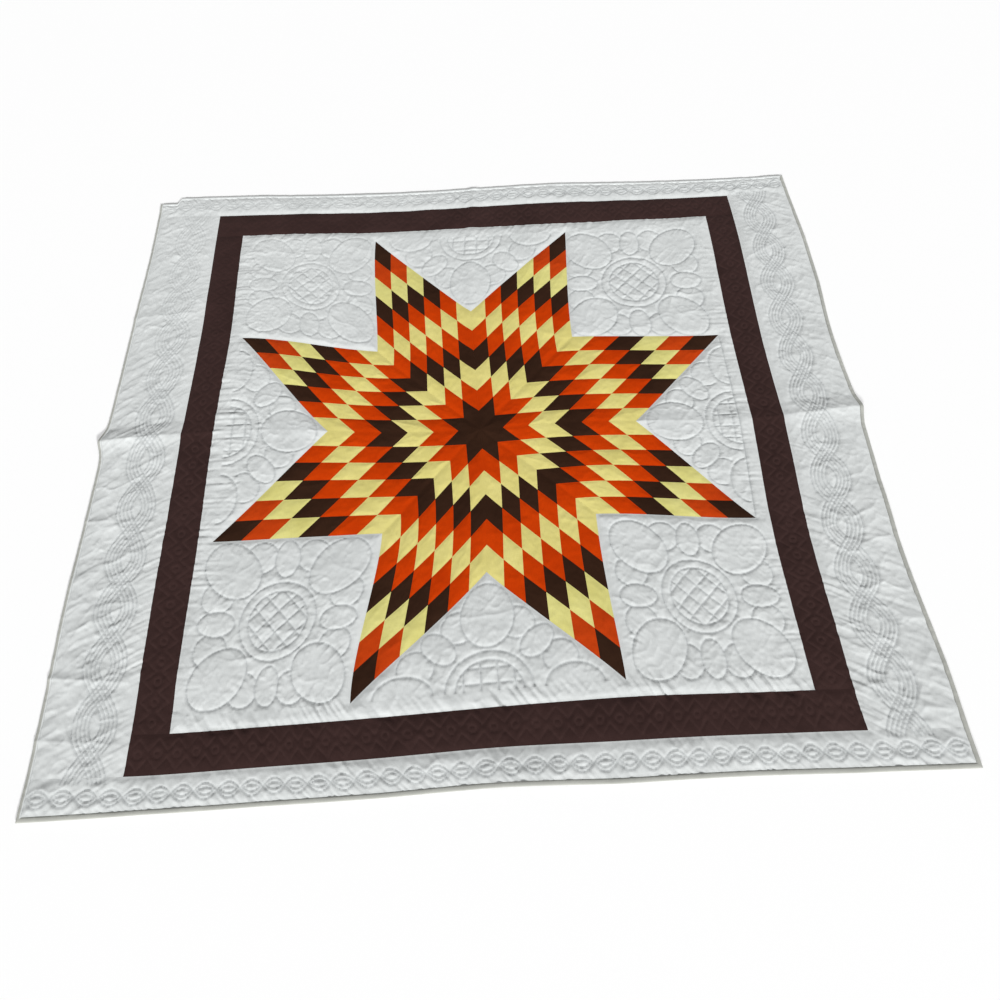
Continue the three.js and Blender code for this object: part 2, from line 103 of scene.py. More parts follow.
# Cells of the meshes
CELL = 3.2
STAR_CELL = 4.76
BROWN_CELL = 3.8
UNDER_STEP = 4                   # the underside has one cell for this many cells of the top
SNAP = {"reach": 0.63, "over": 0.32}   # how top points move onto a stitched line, in cells
POINTS_AT_ONCE = 50000           # that are laid out in one step, to save memory

# Places on the cloth's texture plane: the top, the cut edge over it and the underside over both
TOP_UV = 0.78
EDGE_UV = (0.79, 0.81)
UNDER_UV = {"from": 0.82, "size": 0.18}

# Quilting lines
LINE_STEP = 1.0
MEDALLION = {"outer": 104.0, "inner": 80.0, "grid": 40.0}
OVAL = {"away": 202.0, "long": 88.0, "wide": 68.0}
LOOP = {"away": 169.0, "long": 51.0, "wide": 33.0}
SIDE_LOOP = {"away": 175.0, "aside": 70.0, "radius": 44.0}
BASE_OVAL = 0.8                  # size of the ovals on a side triangle's base beside the others
SQUARE_SHIFTS = ((-12, -7), (-2, 22), (-15, 0), (20, -14))   # of the motif, from each middle
ZIGZAG = {"length": 50.0, "low": 8.0, "high": 38.0, "curl": 9.0}
ROPE = {"inset": 91.0, "length": 145.0, "swing": 34.0, "lines": (-20, -10, 0, 10, 20)}
CHAIN = {"shift": 6.0, "length": 56.65, "swing": 18.5, "eye_long": 21.0, "eye_wide": 7.5}
ROPE_OVERLAP = 16.0              # how far the ropes run on into the end borders
TRIANGLE_INSET = 4.0             # lines stop this far inside a side triangle's edge
STRIP_INSET = 3.0                # and this far inside a strip's edge
NEAR_STRIP = 40.0                # lines this close to an inner strip hold it down too

# How unsteadily the lines are drawn, and where they show less clearly, x counted to the left
WAVER = {"length": 60.0, "sway": 1.6, "strip_sway": 2.6}
WAVER_SEEDS = {"square": 70, "triangle": 80, "strip": 90}
FAINT = {"share": 0.4, "y_from": -100.0, "y_to": 700.0, "x_from": -400.0, "x_to": 700.0}

# Folds that the cloth keeps, and where the edge is caught up or turned under
FOLD = {"near": 24.0, "far": 46.0, "upright": 17.0, "height": 3.0, "power": 1.3,
        "left_rise": 8.0, "right_rise": 5.0, "rise_from": 800.0, "rise_to": 1060.0}
LEFT_CREASES = (                 # y, height, spread of creases across the left border
    (-735, 3.0, 9), (-880, 2.6, 9), (420, 1.8, 12), (-300, 1.8, 10),
)
CREASE_RAMP = 60.0               # width over which these creases begin beside the frame
CREASE_SLOPE = 0.04
BULGE = {"x": 50.0, "y": -1000.0, "spread_x": 120.0, "spread_y": 60.0, "height": 8.0}
JOG = {"left": 12.0, "right": 8.0, "spread": 40.0, "rise_from": 950.0}
TUCK = {"x": -1076.0, "ramp": 18.0, "y": 1006.0, "depth": 95.0, "amount": 28.0}

# Soft waves of the whole cloth: size in x and y, height, seed
WAVES = ((190.0, 170.0, 2.4, 11), (75.0, 70.0, 1.2, 12))
# Heights of the creases and dimples, and how far the creases at seams and edges reach
FRAME_CREASES = {"height": 2.4, "slope": 0.6, "reach_in": 40.0, "more_beside": 35.0,
                 "reach_out": 75.0, "into_frame": 9.0}
BORDER_CREASES = {"soft": 1.4, "thin": 2.0, "fine": 0.8, "calm": 0.5, "edge": 1.6,
                  "edge_reach": 26.0}
CRUMPLE = {"soft": 2.7, "thin": 1.7, "small": 1.2, "wide_dimple": 0.35, "small_dimple": 0.45,
           "bend": 12.0}

# How the cloth lies: shift of each landmark from its place in the even plan
CENTRE_SHIFT = (-13, -16)
TIP_SHIFTS = (                   # angle, dx, dy
    (22.5, -12, -29), (67.5, -8, -13), (112.5, -29, -18), (157.5, 6, 46),
    (202.5, 4, -12), (247.5, -47, -8), (292.5, 7, 15), (337.5, -28, -21),
)
NOTCH_SHIFTS = (                 # angle, dx, dy
    (0, 1, -13), (45, -27, -10), (90, -28, -25), (135, -9, -34),
    (180, -17, 3), (225, 22, -12), (270, -13, -6), (315, -19, 16),
)
BROWN_SHIFTS = (                 # side in x, side in y, dx, dy
    (-1, 1, -1, -3), (1, 1, 2, -5), (-1, -1, 7, -16), (1, -1, -15, 4),
)
# Outward shift of the bound edge at nine even places, from left to right or from bottom to top
EDGE_SHIFTS = {
    "top": (9, 8, -6, -12, -4, 4, -6, -11, -6),
    "bottom": (13, 10, 6, 2, -7, -1, -2, 4, 8),
    "left": (2, 3, 8, 4, 2, -2, -5, -10, -7),
    "right": (12, 9, -6, -5, 0, -9, 3, 3, -7),
}


def polar(degrees, radius):
    """The plan point at an angle from the x axis and a distance from the middle."""
    angle = math.radians(degrees)
    return np.array([radius * math.cos(angle), radius * math.sin(angle)])


def landmarks():
    """Plan place and shift of every landmark, one to a row."""
    rows = [(0, 0, *CENTRE_SHIFT)]
    rows += [(*polar(angle, TIP), dx, dy) for angle, dx, dy in TIP_SHIFTS]
    rows += [(*polar(angle, POINT_SIDE), dx, dy) for angle, dx, dy in NOTCH_SHIFTS]
    middle = (INNER + BROWN) / 2     # of the frame's width
    rows += [(sx * middle, sy * middle, dx, dy) for sx, sy, dx, dy in BROWN_SHIFTS]
    bound_x = EDGE_X + BINDING
    bound_y = EDGE_Y + BINDING
    count = len(EDGE_SHIFTS["top"])
    for k, place in enumerate(np.linspace(-1, 1, count)):
        sideways = int(k == count - 1) - int(k == 0)
        out_x = EDGE_SHIFTS["left" if sideways < 0 else "right"]
        rows.append((place * bound_x, bound_y, sideways * out_x[-1], EDGE_SHIFTS["top"][k]))
        rows.append((place * bound_x, -bound_y, sideways * out_x[0], -EDGE_SHIFTS["bottom"][k]))
        if not sideways:
            rows.append((-bound_x, place * bound_y, -EDGE_SHIFTS["left"][k], 0))
            rows.append((bound_x, place * bound_y, EDGE_SHIFTS["right"][k], 0))
    return np.array(rows, float)


def smoothstep(value, low, high):
    """0 below low, 1 above high and a soft rise between them."""
    t = np.clip((value - low) / (high - low), 0, 1)
    return t * t * (3 - 2 * t)


def bell(value):
    """A soft bump that is 1 at zero."""
    return np.exp(-value * value)


# A thin-plate spline: exact on the landmarks and as smooth as can be between them
MARKS = landmarks()


def bend_terms(p):
    """Share of each landmark, then of a flat plane, in the shift of each plan point."""
    squared = ((p[:, None, :] - MARKS[None, :, :2]) ** 2).sum(-1) / POINT_SIDE ** 2
    bend = 0.5 * squared * np.log(np.maximum(squared, 1e-12))
    return np.hstack([bend, np.ones((len(p), 1)), p / POINT_SIDE])


def thin_plate_weights():
    """Weights with which every landmark moves by its own shift."""
    terms = bend_terms(MARKS[:, :2])
    plane = terms[:, -3:]
    matrix = np.vstack([terms, np.hstack([plane.T, np.zeros((3, 3))])])
    return np.linalg.solve(matrix, np.vstack([MARKS[:, 2:], np.zeros((3, 2))]))


WEIGHTS = thin_plate_weights()


def lay_out(p):
    """Where points of the even plan lie on the floor."""
    moved = p.copy()
    for part in np.array_split(np.arange(len(p)), len(p) // POINTS_AT_ONCE + 1):
        moved[part] += bend_terms(p[part]) @ WEIGHTS
    out = smoothstep(abs(p[:, 0]), JOG["rise_from"], EDGE_X) * bell(p[:, 1] / JOG["spread"])
    moved[:, 0] += out * np.where(p[:, 0] < 0, -JOG["left"], JOG["right"])
    ramp = TUCK["ramp"] / 2
    tuck = smoothstep(-p[:, 0], -TUCK["x"] - ramp, -TUCK["x"] + ramp)
    tuck = tuck * smoothstep(p[:, 1], TUCK["y"] - TUCK["depth"], TUCK["y"])
    moved[:, 1] -= TUCK["amount"] * tuck
    return moved


def noise(u, v, seed):
    """Smooth noise from -1 to 1 with one bump to a unit."""
    size = 256
    table = np.random.RandomState(seed).uniform(-1, 1, (size, size))
    iu = np.floor(u).astype(int)
    iv = np.floor(v).astype(int)
    fu = u - iu
    fv = v - iv
    fu = fu * fu * (3 - 2 * fu)
    fv = fv * fv * (3 - 2 * fv)
    a = table[iu % size, iv % size] * (1 - fu) + table[(iu + 1) % size, iv % size] * fu
    b = table[iu % size, (iv + 1) % size] * (1 - fu) + table[(iu + 1) % size, (iv + 1) % size] * fu
    return a * (1 - fv) + b * fv


def lift(p):
    """How high the underside stands off the floor: crossing folds, a bulge and soft waves."""
    x, y = p.T
    rise = np.where(x < 0, FOLD["left_rise"], FOLD["right_rise"])
    across = FOLD["height"] + rise * smoothstep(abs(x), FOLD["rise_from"], FOLD["rise_to"])
    ridge = np.where(y < 0, np.exp(-(abs(y) / FOLD["near"]) ** FOLD["power"]),
                     np.clip(1 - y / FOLD["far"], 0, 1))
    folds = across * ridge + FOLD["height"] * bell(x / FOLD["upright"])
    bulge = bell((x - BULGE["x"]) / BULGE["spread_x"]) * bell((y - BULGE["y"]) / BULGE["spread_y"])
    waves = sum(height * noise(x / wide, y / deep, seed) for wide, deep, height, seed in WAVES)
    on_left = smoothstep(-x, BROWN, BROWN + CREASE_RAMP)
    for place, height, spread in LEFT_CREASES:
        away = abs(y - place + CREASE_SLOPE * x)
        folds = folds + on_left * height * np.exp(-away / spread)
    return folds + BULGE["height"] * bulge + np.maximum(waves, 0)


def ridges(u, v, seed, width):
    """Narrow creases along the lines where the noise passes zero."""
    return np.exp(-abs(noise(u, v, seed)) / width)


def frame_wrinkles(p):
    """Short creases that the seams of the brown frame pull into the cloth on both sides."""
    x, y = p.T
    reach = np.maximum(abs(x), abs(y))
    sideways = smoothstep(abs(x) - abs(y), -30, 30)
    reach_in = FRAME_CREASES["reach_in"] + FRAME_CREASES["more_beside"] * sideways
    inside = np.where(reach < INNER, bell((INNER - reach) / reach_in),
                      bell((reach - INNER) / FRAME_CREASES["into_frame"]))
    outside = np.where(reach > BROWN, bell((reach - BROWN) / FRAME_CREASES["reach_out"]),
                       bell((reach - BROWN) / FRAME_CREASES["into_frame"]))
    near = smoothstep(-y, -300, 700)  # the creases are stronger in the near half and on the left
    beside = 0.32 + smoothstep(-x, -100, 300) * (0.25 + 0.43 * bell(y / 420))
    inside = inside * np.where(sideways > 0.5, beside, 0.6 + near)
    outside = outside * (0.15 + near * (0.35 + 0.2 * sideways))
    sloping = y + FRAME_CREASES["slope"] * np.maximum(abs(x) - BROWN, 0)
    level = noise(x / 75 + sloping / 43, sloping / 6.8, 21) + 0.6 * noise(x / 110, sloping / 15, 23)
    slant = x - FRAME_CREASES["slope"] * (abs(y) - INNER)
    upright = noise(slant / 9, y / 60, 22) + 0.6 * noise(slant / 17, y / 90, 24)
    pull = sideways * level + (1 - sideways) * upright
    patches = np.clip(0.75 + 0.75 * noise(x / 130, y / 60, 25), 0.1, 1.4)
    return FRAME_CREASES["height"] * patches * np.maximum(inside, outside) * pull


def border_wrinkles(p):
    """Longer slanting creases in the side borders and short puckers along the bound edge."""
    x, y = p.T
    away = abs(x)
    wide = smoothstep(away, BROWN + 10, BROWN + 70)
    # Both side borders are calmer in their far part
    calm = np.where(x > 0, smoothstep(y, -550, -250), smoothstep(y, 0, 350))
    wide = wide * (1 - BORDER_CREASES["calm"] * calm)
    slanting = noise((away - 0.7 * y) / 110, (y + 0.7 * away) / 32, 31)
    thin = ridges((away - 0.6 * y) / 95, (y + 0.6 * away) / 36, 33, 0.2)
    fine = noise((away - 0.5 * y) / 60, (y + 0.5 * away) / 11, 32)
    end = bell((EDGE_Y - abs(y)) / BORDER_CREASES["edge_reach"])
    short = noise((x + 0.8 * y) / 7.5, (y - 0.8 * x) / 40, 34)
    creases = (BORDER_CREASES["soft"] * slanting + BORDER_CREASES["thin"] * thin
               + BORDER_CREASES["fine"] * fine)
    return wide * creases + BORDER_CREASES["edge"] * end * short


def crumple(p):
    """Soft folds, thin creases and small dimples of any quilted cloth."""
    x, y = p.T
    bend = CRUMPLE["bend"] * noise(x / 45, y / 45, 61)
    patches = 0.6 + 0.4 * noise(x / 150, y / 150, 63)
    spots = 0.55 + 0.45 * noise(x / 50, y / 50, 65)
    soft = ridges((x + bend) / 88, (y - bend) / 76, 62, 0.16) * patches
    thin = ridges((x + y + bend) / 48, (x - y) / 36, 64, 0.2) * spots
    small = ridges((x - bend) / 19, (y + bend) / 22, 68, 0.25) * (1.2 - spots)
    dimples = (CRUMPLE["wide_dimple"] * noise(x / 21, y / 19, 66)
               + CRUMPLE["small_dimple"] * noise(x / 9, y / 8.5, 67))
    return (CRUMPLE["soft"] * soft + CRUMPLE["thin"] * thin + CRUMPLE["small"] * small
            + dimples)


def seams():
    """Every seam of the quilt: its two ends and the share of the puff that it takes away."""
    made = []
    for number in range(8):
        tip = polar(45 * number + 22.5, TIP)
        notches = [polar(45 * number, POINT_SIDE), polar(45 * number + 45, POINT_SIDE)]
        made.append((np.zeros(2), notches[0], 1.0))
        made += [(notch, tip, 1.0) for notch in notches]
    for level, away, start, end, hold in (
        (0, STAR, -NOTCH, NOTCH, PLAIN_HOLD), (1, STAR, -NOTCH, NOTCH, PLAIN_HOLD),
        (0, INNER, -INNER, INNER, 1.0), (1, INNER, -BROWN, BROWN, 1.0),
        (0, BROWN, -BROWN, BROWN, 1.0), (1, BROWN, -BROWN, BROWN, 1.0),
        (1, BROWN, -EDGE_X, -BROWN, BORDER_HOLD), (1, BROWN, BROWN, EDGE_X, BORDER_HOLD),
        (0, EDGE_X, -EDGE_Y, EDGE_Y, EDGE_HOLD), (1, EDGE_Y, -EDGE_X, EDGE_X, EDGE_HOLD),
    ):
        for side in (-1, 1):
            ends = [np.array([side * away, place], float) for place in (start, end)]
            made.append((*[end[::-1] if level else end for end in ends], hold))
    return made


SEAMS = seams()


def seam_hold(p):
    """Share of the puff taken away by the seams near each plan point."""
    margin = 8 * SEAM_REACH          # a seam further off holds next to nothing
    low = p.min(0) - margin
    high = p.max(0) + margin
    hold = np.zeros(len(p))
    for a, b, share in SEAMS:
        if (np.maximum(a, b) < low).any() or (np.minimum(a, b) > high).any():
            continue
        along = (b - a) / np.linalg.norm(b - a)
        reach = np.clip((p - a) @ along, 0, np.linalg.norm(b - a))
        away = np.linalg.norm(p - a - reach[:, None] * along, axis=1)
        hold = np.maximum(hold, share / (1 + (away / SEAM_REACH) ** 2))
    return hold


# Quilting lines, as lists of plan points a millimetre apart
def ellipse(middle, degrees, long, wide):
    count = int(2 * math.pi * max(long, wide) / LINE_STEP)
    angle = np.linspace(0, 2 * math.pi, count, endpoint=False)
    u = polar(degrees, 1)
    v = polar(degrees + 90, 1)
    return middle + long * np.cos(angle)[:, None] * u + wide * np.sin(angle)[:, None] * v


def circle(middle, radius):
    return ellipse(middle, 0, radius, radius)


def straight(a, b):
    count = max(2, int(np.linalg.norm(b - a) / LINE_STEP))
    return a + np.linspace(0, 1, count)[:, None] * (b - a)


def runs(line, keep):
    """The stretches of a line where keep is true."""
    parts = np.split(np.arange(len(line)), np.flatnonzero(np.diff(keep.astype(int))) + 1)
    return [line[part] for part in parts if keep[part[0]] and len(part) > 3]


def within(line, middle, degrees, long, wide):
    """Which points of a line lie inside an ellipse."""
    u = (line - middle) @ polar(degrees, 1)
    v = (line - middle) @ polar(degrees + 90, 1)
    return (u / long) ** 2 + (v / wide) ** 2 < 1


def wreath(middle, turn, sizes=(1, 1, 1, 1)):
    """A crossed medallion in two rings, four ovals and the loops between them."""
    lines = [circle(middle, MEDALLION["outer"]), circle(middle, MEDALLION["inner"])]
    for degrees in (45, 135):
        along = polar(degrees + turn, 1)
        across = polar(degrees + turn + 90, 1)
        for row in (-1.5, -0.5, 0.5, 1.5):
            offset = row * MEDALLION["grid"]
            half = math.sqrt(MEDALLION["inner"] ** 2 - offset ** 2)
            start = middle + offset * across
            lines.append(straight(start - half * along, start + half * along))
    ovals = [middle + polar(degrees + turn, OVAL["away"]) for degrees in (45, 135, 225, 315)]
    oval_turns = [degrees + turn for degrees in (45, 135, 225, 315)]
    for place, degrees, size in zip(ovals, oval_turns, sizes):
        lines.append(ellipse(place, degrees, size * OVAL["long"], size * OVAL["wide"]))
    for degrees in (turn, turn + 90, turn + 180, turn + 270):
        place = middle + polar(degrees, LOOP["away"])
        lines.append(ellipse(place, degrees, LOOP["long"], LOOP["wide"]))
        for side in (-1, 1):
            beside = side * polar(degrees + 90, SIDE_LOOP["aside"])
            arc = circle(middle + polar(degrees, SIDE_LOOP["away"]) + beside, SIDE_LOOP["radius"])
            hidden = within(arc, place, degrees, LOOP["long"], LOOP["wide"])
            hidden |= within(arc, middle, 0, MEDALLION["outer"], MEDALLION["outer"])
            for oval, oval_turn in zip(ovals, oval_turns):
                hidden |= within(arc, oval, oval_turn, OVAL["long"], OVAL["wide"])
            lines += runs(arc, ~hidden)
    return lines


def waves(half, length, swing, offsets):
    """Two crossing waves of parallel lines along a strip: distance along, distance across."""
    along = np.arange(-half, half, LINE_STEP)
    angle = math.pi * along / length
    slope = swing * math.pi / length * np.cos(angle)
    root = np.sqrt(1 + slope ** 2)
    lines = []
    for side in (-1, 1):
        for offset in offsets:
            shift = -offset * side * slope / root
            across = side * swing * np.sin(angle) + offset / root
            lines.append(np.stack([along + shift, across], 1))
    return lines


def chain(half):
    """Two crossing waves along a strip, with an eye in each of the leaves between them."""
    lines = waves(half, CHAIN["length"], CHAIN["swing"], (0,))
    count = round(2 * half / CHAIN["length"])
    for k in range(count):
        middle = np.array([-half + (k + 0.5) * 2 * half / count, 0])
        along = np.arange(-CHAIN["eye_long"], CHAIN["eye_long"], LINE_STEP)
        across = CHAIN["eye_wide"] * np.cos(0.5 * math.pi * along / CHAIN["eye_long"])
        lines += [middle + np.stack([along, side * across], 1) for side in (-1, 1)]
    return lines


def zigzags(half):
    """Two facing zigzags that leave a row of diamonds with a curl in each."""
    count = round(2 * half / ZIGZAG["length"])
    length = 2 * half / count
    along = np.arange(-half, half, LINE_STEP)
    part = ((along + half) / length) % 1
    rise = ZIGZAG["low"] + (ZIGZAG["high"] - ZIGZAG["low"]) * (1 - abs(2 * part - 1))
    lines = [np.stack([along, rise], 1), np.stack([along, -rise], 1)]
    for k in range(count):
        middle = np.array([-half + (k + 0.5) * length, 0])
        lines.append(circle(middle, ZIGZAG["curl"]))
    return lines


def wobble(line, seed, sway=WAVER["sway"]):
    """The small waver of a line drawn by hand."""
    x, y = (line / WAVER["length"]).T
    shift = np.stack([noise(x, y, seed), noise(x, y, seed + 1)], 1)
    return line + sway * shift


def clearness(p):
    """How clearly stitched lines show: less and less towards the far left corner."""
    x, y = p.T
    far = smoothstep(y, FAINT["y_from"], FAINT["y_to"])
    left = smoothstep(-x, FAINT["x_from"], FAINT["x_to"])
    return 1 - FAINT["share"] * far * left


# Materials

# Numbers of the sockets of a mix node that mixes two colours
MIX_SHARE = 0
MIX_FIRST = 6
MIX_SECOND = 7
MIX_RESULT = 2


def add_node(tree, kind, **values):
    """A new node with its settings, or else its inputs, set by name."""
    node = tree.nodes.new(kind)
    for key, value in values.items():
        if hasattr(node, key):
            setattr(node, key, value)
        else:
            node.inputs[key.replace("_", " ")].default_value = value
    return node


def cotton(name, colour, tint, sheen=0.05, shine=0.25, line=None):
    """Plain-woven cotton: two tones in soft patches, slubs along both threads and a fine weave.

    Stitched lines take on a tone of their own: on white cloth a darker tone, painted shade in the
    stitched grooves; on brown cloth a lighter tone, the thread.
    """
    material = bpy.data.materials.new(name)
    material.use_nodes = True
    tree = material.node_tree
    shader = tree.nodes["Principled BSDF"]
    shader.inputs["Roughness"].default_value = 0.9
    shader.inputs["Sheen Weight"].default_value = sheen
    shader.inputs["Sheen Roughness"].default_value = 0.5
    shader.inputs["Specular IOR Level"].default_value = shine
    link = tree.links.new
    place = tree.nodes.new("ShaderNodeTexCoord").outputs["Object"]

    patches = add_node(tree, "ShaderNodeTexNoise", Scale=9.0, Detail=4.0)
    link(place, patches.inputs["Vector"])
    slubs = []
    for scale in ((60, 900, 1), (900, 60, 1)):
        mapping = tree.nodes.new("ShaderNodeMapping")
        mapping.inputs["Scale"].default_value = scale
        link(place, mapping.inputs["Vector"])
        slub = add_node(tree, "ShaderNodeTexNoise", Scale=1.0, Detail=2.0)
        link(mapping.outputs["Vector"], slub.inputs["Vector"])
        slubs.append(slub.outputs["Fac"])
    both = add_node(tree, "ShaderNodeMath", operation="ADD")
    link(slubs[0], both.inputs[0])
    link(slubs[1], both.inputs[1])
    mixed = add_node(tree, "ShaderNodeMath", operation="MULTIPLY")
    link(patches.outputs["Fac"], mixed.inputs[0])
    link(both.outputs[0], mixed.inputs[1])

    tones = tree.nodes.new("ShaderNodeValToRGB")
    tones.color_ramp.elements[0].position = 0.25
    tones.color_ramp.elements[0].color = (*tint, 1)
    tones.color_ramp.elements[1].position = 0.75
    tones.color_ramp.elements[1].color = (*colour, 1)
    link(mixed.outputs[0], tones.inputs["Fac"])
    # Mix in the line colour by the share of stitching: painted shade along stitched lines on white
    # cloth, lighter thread on brown cloth.
    stitched = add_node(tree, "ShaderNodeAttribute", attribute_name="stitched")
    thread_and_stitch_shade = add_node(tree, "ShaderNodeMix", data_type="RGBA")
    thread_and_stitch_shade.inputs[MIX_SECOND].default_value = (*(line or tint), 1)
    link(stitched.outputs["Fac"], thread_and_stitch_shade.inputs[MIX_SHARE])
    link(tones.outputs["Color"], thread_and_stitch_shade.inputs[MIX_FIRST])
    link(thread_and_stitch_shade.outputs[MIX_RESULT], shader.inputs["Base Color"])

    threads = []
    for axis in ("X", "Y"):
        wave = add_node(tree, "ShaderNodeTexWave", bands_direction=axis, Scale=500.0, Distortion=0.6)
        link(place, wave.inputs["Vector"])
        threads.append(wave.outputs["Fac"])
    weave = add_node(tree, "ShaderNodeMath", operation="MULTIPLY")
    link(threads[0], weave.inputs[0])
    link(threads[1], weave.inputs[1])
    relief = add_node(tree, "ShaderNodeMath", operation="ADD")
    link(weave.outputs[0], relief.inputs[0])
    link(both.outputs[0], relief.inputs[1])
    bump = add_node(tree, "ShaderNodeBump", Strength=0.25, Distance=0.0004)
    link(relief.outputs[0], bump.inputs["Height"])
    link(bump.outputs["Normal"], shader.inputs["Normal"])
    return material


# The white cloth's darker line colour is painted shade in the stitched grooves.
WHITE = cotton("white_cotton", (0.645, 0.665, 0.66), (0.565, 0.585, 0.58), line=(0.47, 0.49, 0.49))
EDGE = cotton("binding_cotton", (0.44, 0.445, 0.41), (0.355, 0.36, 0.33))
FRAME_BROWN = cotton("frame_brown", (0.043, 0.0215, 0.0195), (0.0285, 0.014, 0.0125),
                     sheen=0.01, shine=0.08, line=(0.0455, 0.0235, 0.0212))
BROWN_DYE = cotton("star_brown", (0.036, 0.0152, 0.008), (0.024, 0.0101, 0.0053),
                   sheen=0, shine=0.05)
ORANGE = cotton("star_orange", (0.565, 0.047, 0.0014), (0.46, 0.033, 0.001),
                sheen=0, shine=0.03)
RED_ORANGE = cotton("star_red_orange", (0.52, 0.052, 0.005), (0.42, 0.037, 0.004),
                    sheen=0, shine=0.03)
YELLOW = cotton("star_yellow", (0.705, 0.63, 0.23), (0.61, 0.54, 0.17),
                sheen=0, shine=0.1)
LEMON = cotton("star_lemon", (0.685, 0.645, 0.245), (0.59, 0.545, 0.172),
               sheen=0, shine=0.1)
STAR_DYES = [BROWN_DYE, ORANGE, YELLOW, RED_ORANGE, LEMON]
# Dye of each row of small diamonds, counted from the star's middle to its tip
ROW_DYES = (0, 1, 2, 0, 1, 2, 1, 0, 4, 3, 0)


# Meshes
def lattice(nu, nv, half, step=1):
    """Triangles and rim of a grid of nu by nv cells, or of the half of it under its diagonal."""
    stride = nv + 1
    i, j = np.meshgrid(np.arange(0, nu, step), np.arange(0, nv, step), indexing="ij")
    i = i.ravel()
    j = j.ravel()
    a = i * stride + j
    b = a + step * stride
    c = b + step
    d = a + step
    if half:
        full = i + j + 2 * step <= nu
        edge = i + j + step == nu
        faces = [np.stack([a, b, c], 1)[full], np.stack([a, c, d], 1)[full],
                 np.stack([a, b, d], 1)[edge]]
    else:
        flip = ((i // step + j // step) % 2).astype(bool)
        faces = [np.stack([a, b, c], 1)[~flip], np.stack([a, c, d], 1)[~flip],
                 np.stack([a, b, d], 1)[flip], np.stack([b, c, d], 1)[flip]]
    along = np.arange(0, nu, step)
    if half:
        rim = np.concatenate([along * stride, (nu - along) * stride + along,
                              np.arange(nv, 0, -step)])
    else:
        up = np.arange(0, nv, step)
        rim = np.concatenate([along * stride, nu * stride + up,
                              (nu - along) * stride + nv, nv - up])
    return np.vstack(faces), rim


def drawn_in(corners):
    """Convex counterclockwise outline moved inwards by half of the gap between pieces."""
    corners = np.asarray(corners, float)
    ahead = np.roll(corners, -1, 0) - corners
    ahead /= np.linalg.norm(ahead, axis=1)[:, None]
    inward = np.stack([-ahead[:, 1], ahead[:, 0]], 1)
    before = np.roll(inward, 1, 0)
    share = GAP / 2 / (1 + (before * inward).sum(1))
    return corners + share[:, None] * (before + inward)


def depth_inside(p, corners):
    """How far plan points lie inside a convex counterclockwise outline."""
    depths = []
    for a, b in zip(corners, np.roll(corners, -1, 0)):
        ahead = (b - a) / np.linalg.norm(b - a)
        depths.append(ahead[0] * (p[:, 1] - a[1]) - ahead[1] * (p[:, 0] - a[0]))
    return np.min(depths, 0)


def nearest_lines(p, lines):
    """Distance to the nearest line and the nearest point on it for each plan point."""
    samples = np.vstack(lines)
    tree = KDTree(len(samples))
    for k, (x, y) in enumerate(samples.tolist()):
        tree.insert((x, y, 0), k)
    tree.balance()
    found = np.array([tree.find((x, y, 0))[1:] for x, y in p.tolist()])
    return found[:, 1], samples[found[:, 0].astype(int)]


def quilted(p, lines, rim_points, cell, loft=LOFT, line_reach=LINE_REACH, hold=LINE_HOLD,
            pucker=PUCKER):
    """Plan points moved onto the stitched lines near them, thickness and share of stitching."""
    line_hold = np.zeros(len(p))
    puckers = 0
    if lines:
        away, nearest = nearest_lines(p, lines)
        pull = np.clip((SNAP["reach"] * cell - away) / (SNAP["over"] * cell), 0, 1)
        pull[rim_points] = 0
        p = p + pull[:, None] * (nearest - p)
        away = away * (1 - pull)
        clear = clearness(p)
        line_hold = hold * clear * np.exp(-away / line_reach)
        x, y = nearest.T
        ripple = noise(x / 8.5, y / 8.5, 41) + 0.6 * noise(x / 5.0, y / 5.0, 42)
        puckers = pucker * loft / LOFT * ripple * np.exp(-away / PUCKER_REACH)
        puckers = puckers * (1 - 0.6 * line_hold) * clear
    seam = seam_hold(p)
    free = 1 - seam
    ease = LEAST_CRUMPLE + (1 - LEAST_CRUMPLE) * free
    relief = frame_wrinkles(p) + border_wrinkles(p) + ease * loft / LOFT * crumple(p)
    thickness = SEAM + loft * (1 - np.maximum(seam, line_hold)) + free * puckers + relief
    return p, np.maximum(thickness, THINNEST), (line_hold / hold) ** 2


def mesh_object(name, points, faces, rows, uv, smooth):
    """A mesh of triangles, given in millimetres, whose flat faces are set off by sharp edges."""
    mesh = bpy.data.meshes.new(name)
    mesh.vertices.add(len(points))
    mesh.vertices.foreach_set("co", (points * MM).astype(np.float32).ravel())
    mesh.loops.add(faces.size)
    mesh.loops.foreach_set("vertex_index", faces.astype(np.int32).ravel())
    mesh.polygons.add(len(faces))
    mesh.polygons.foreach_set("loop_start", np.arange(0, faces.size, 3, dtype=np.int32))
    mesh.polygons.foreach_set("material_index", rows.astype(np.int32))
    mesh.update(calc_edges=True)
    mesh.polygons.foreach_set("use_smooth", smooth)
    on_wall = np.zeros(len(points), bool)
    on_wall[faces[~smooth]] = True
    ends = np.empty(2 * len(mesh.edges), np.int32)
    mesh.edges.foreach_get("vertices", ends)
    mesh.edges.foreach_set("use_edge_sharp", on_wall[ends.reshape(-1, 2)].all(1))
    layer = mesh.uv_layers.new(name="OFBake")
    layer.data.foreach_set("uv", uv.astype(np.float32).ravel())
    piece = bpy.data.objects.new(name, mesh)
    bpy.context.scene.collection.objects.link(piece)
    return piece


